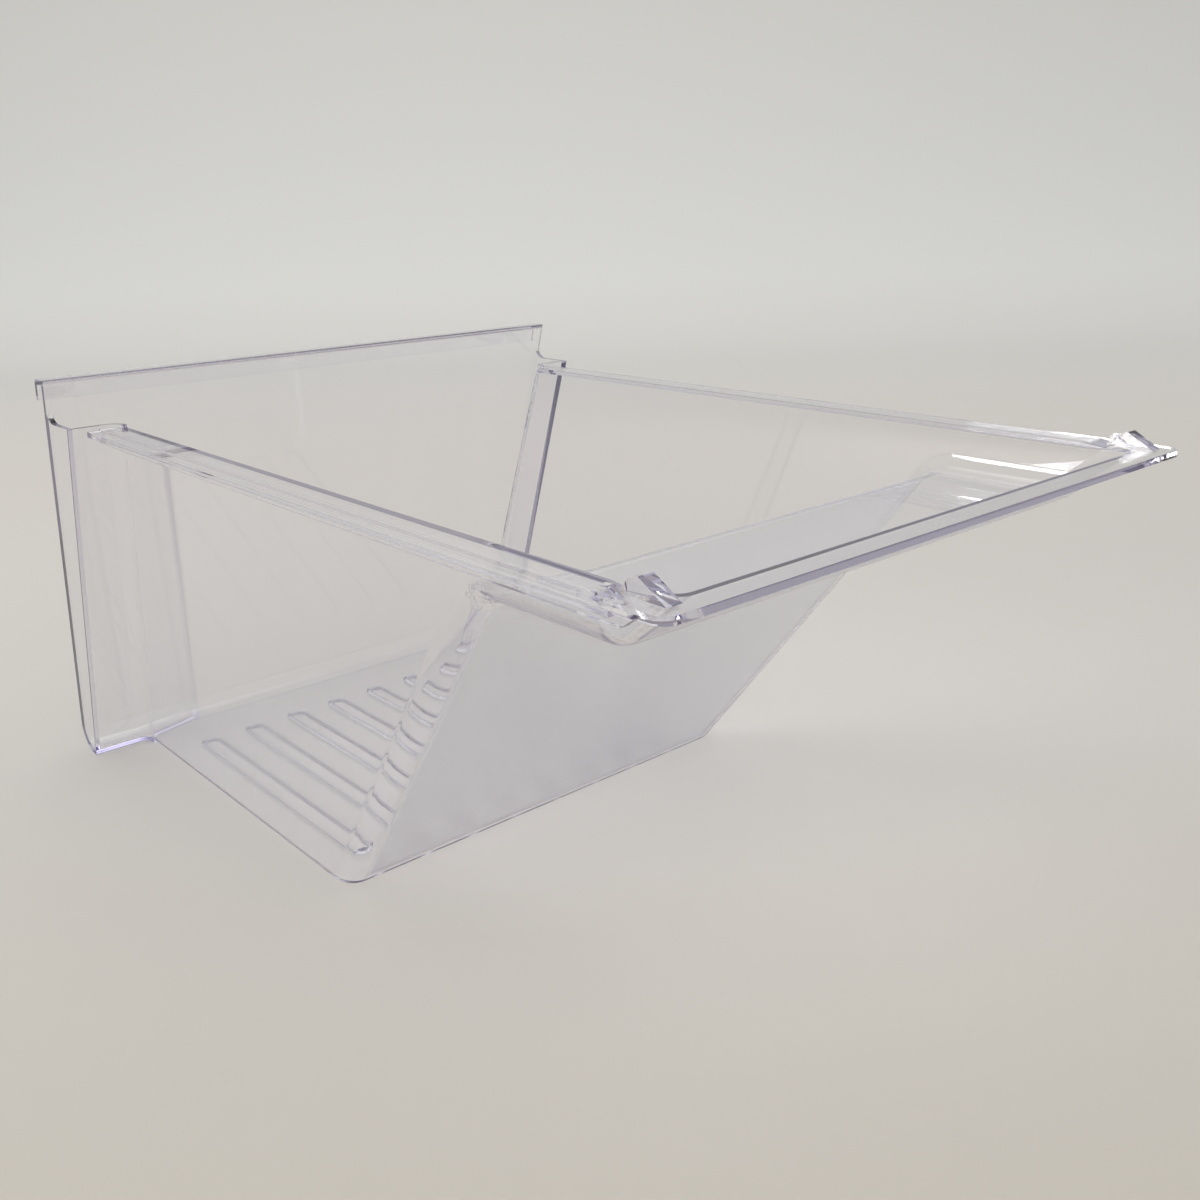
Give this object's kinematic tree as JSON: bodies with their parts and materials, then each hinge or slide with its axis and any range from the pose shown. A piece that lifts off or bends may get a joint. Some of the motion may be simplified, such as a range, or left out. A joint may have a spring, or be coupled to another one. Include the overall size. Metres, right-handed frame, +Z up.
{
  "type": "fridge crisper drawer",
  "caption": "Clear moulded drawer with a leaning front panel and grip lip, ribbed floor, sloped back, rear shelf, side rails and stops at the rear.",
  "frame": {"origin": "middle of the bounding box in plan, on the surface that the drawer stands on", "axes": "+Z up, +Y from the front panel with the grip to the rear flange, +X to the right of someone who faces the rear from the front"},
  "size_m": [0.2888, 0.4406, 0.2],
  "materials": {
    "clear_plastic": "clear moulded polystyrene with polished faces"
  },
  "bodies": {
    "root": {"drawer": "clear_plastic"}
  },
  "joints": []
}
